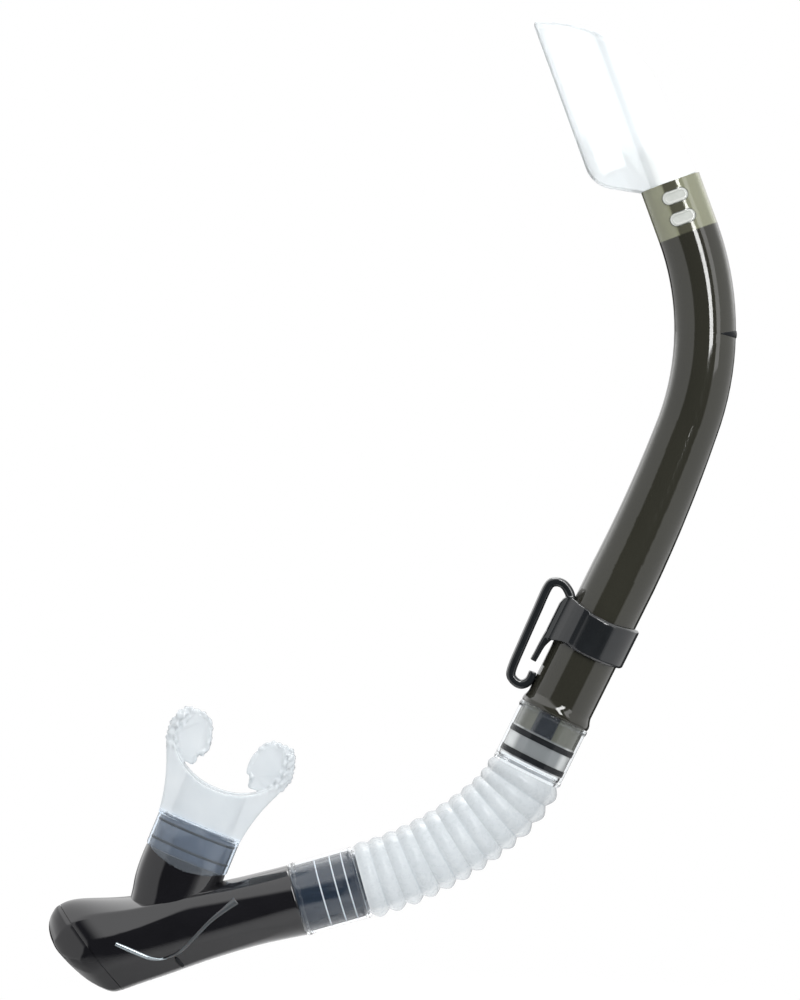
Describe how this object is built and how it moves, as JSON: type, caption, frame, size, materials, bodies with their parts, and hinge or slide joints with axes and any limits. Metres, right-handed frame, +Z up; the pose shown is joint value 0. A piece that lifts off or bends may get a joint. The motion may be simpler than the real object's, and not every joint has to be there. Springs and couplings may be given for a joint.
{
  "type": "snorkel tube",
  "caption": "Curved snorkel with a float-valve dry top, smoke barrel, sliding strap keeper, swivelling corrugated hose, purge chamber and silicone mouthpiece.",
  "frame": {"origin": "centre of the strap slot in the keeper clip", "axes": "+Z up with the snorkel held as worn, +X from the strap slot towards the barrel, +Y away from a viewer who sees the mouthpiece on the left"},
  "size_m": [0.3021, 0.036, 0.4271],
  "materials": {
    "smoke_barrel": "glossy translucent smoke",
    "seal_rubber": "smooth black",
    "keeper_plastic": "semi-gloss black",
    "clear_cap": "clear, lightly frosted plastic",
    "clear_stem": "clear moulded",
    "pin_steel": "ground",
    "lever_plastic": "moulded",
    "valve_silicone": "satin silicone",
    "float_plastic": "moulded",
    "hose_silicone": "milky clear silicone",
    "chamber_plastic": "high-gloss black",
    "accent": "silver paint",
    "seat_plastic": "moulded",
    "mouth_silicone": "frosted clear silicone"
  },
  "bodies": {
    "barrel": {"barrel_tube": "smoke_barrel", "upper_seal_rings": "seal_rubber", "dry_top_housing": "clear_cap", "valve_seat_stem": "clear_stem", "lever_pivot_pin": "pin_steel"},
    "float_valve": {"float_lever": "lever_plastic", "valve_seal": "valve_silicone", "float_body": "float_plastic"},
    "keeper": {"strap_keeper": "keeper_plastic"},
    "upper_cuff": {"hose_upper_cuff": "hose_silicone"},
    "hose_link_1": {"hose_section_1": "hose_silicone"},
    "hose_link_2": {"hose_section_2": "hose_silicone"},
    "hose_link_3": {"hose_section_3": "hose_silicone"},
    "hose_link_4": {"hose_section_4": "hose_silicone"},
    "hose_link_5": {"hose_section_5": "hose_silicone"},
    "lower_cuff": {"hose_lower_cuff": "hose_silicone"},
    "purge_chamber": {"purge_housing": "chamber_plastic", "lower_seal_rings": "seal_rubber", "mouthpiece_spigot_rings": "seal_rubber", "accent_ribs": "accent", "purge_cover": "chamber_plastic", "purge_valve_seat": "seat_plastic", "mouthpiece": "mouth_silicone"},
    "purge_valve": {"purge_diaphragm": "valve_silicone"}
  },
  "joints": [
    {"name": "float_valve", "type": "hinge", "parent": "barrel", "child": "float_valve", "pos_m": [0.04172, 0, 0.2118], "axis": [0, 1, 0], "range_deg": [0, 20]},
    {"name": "keeper_slide", "type": "slide", "parent": "barrel", "child": "keeper", "axis": [0.4446, 0, 0.8957], "range_m": [-0.001, 0.019]},
    {"name": "upper_swivel", "type": "hinge", "parent": "barrel", "child": "upper_cuff", "pos_m": [0.00905, 0, -0.0362], "axis": [0.4446, 0, 0.8957], "continuous": true},
    {"name": "hose_bend_1", "type": "hinge", "parent": "upper_cuff", "child": "hose_link_1", "pos_m": [-0.00716, 0, -0.06772], "axis": [0, 1, 0], "range_deg": [-8, 5], "stiffness_Nm_per_rad": 0.8, "deforming": ["hose_upper_cuff", "hose_section_1"]},
    {"name": "hose_bend_2", "type": "hinge", "parent": "hose_link_1", "child": "hose_link_2", "pos_m": [-0.01702, 0, -0.07861], "axis": [0, 1, 0], "range_deg": [-8, 5], "stiffness_Nm_per_rad": 0.8, "deforming": ["hose_section_1", "hose_section_2"]},
    {"name": "hose_bend_3", "type": "hinge", "parent": "hose_link_2", "child": "hose_link_3", "pos_m": [-0.02873, 0, -0.08754], "axis": [0, 1, 0], "range_deg": [-8, 5], "stiffness_Nm_per_rad": 0.8, "deforming": ["hose_section_2", "hose_section_3"]},
    {"name": "hose_bend_4", "type": "hinge", "parent": "hose_link_3", "child": "hose_link_4", "pos_m": [-0.04124, 0, -0.09532], "axis": [0, 1, 0], "range_deg": [-8, 5], "stiffness_Nm_per_rad": 0.8, "deforming": ["hose_section_3", "hose_section_4"]},
    {"name": "hose_bend_5", "type": "hinge", "parent": "hose_link_4", "child": "hose_link_5", "pos_m": [-0.05442, 0, -0.10189], "axis": [0, 1, 0], "range_deg": [-8, 5], "stiffness_Nm_per_rad": 0.8, "deforming": ["hose_section_4", "hose_section_5"]},
    {"name": "hose_bend_6", "type": "hinge", "parent": "hose_link_5", "child": "lower_cuff", "pos_m": [-0.06816, 0, -0.10719], "axis": [0, 1, 0], "range_deg": [-8, 5], "stiffness_Nm_per_rad": 0.8, "deforming": ["hose_section_5", "hose_lower_cuff"]},
    {"name": "lower_swivel", "type": "hinge", "parent": "lower_cuff", "child": "purge_chamber", "pos_m": [-0.10379, 0, -0.11739], "axis": [0.9627, 0, 0.2706], "continuous": true},
    {"name": "purge_valve", "type": "slide", "parent": "purge_chamber", "child": "purge_valve", "axis": [-0.788, 0, -0.6157], "range_m": [0, 0.0012], "stiffness_N_per_m": 20}
  ],
  "couplings": [
    {"joint": "hose_bend_2", "follows": "hose_bend_1", "ratio": 1},
    {"joint": "hose_bend_3", "follows": "hose_bend_1", "ratio": 1},
    {"joint": "hose_bend_4", "follows": "hose_bend_1", "ratio": 1},
    {"joint": "hose_bend_5", "follows": "hose_bend_1", "ratio": 1},
    {"joint": "hose_bend_6", "follows": "hose_bend_1", "ratio": 1}
  ]
}
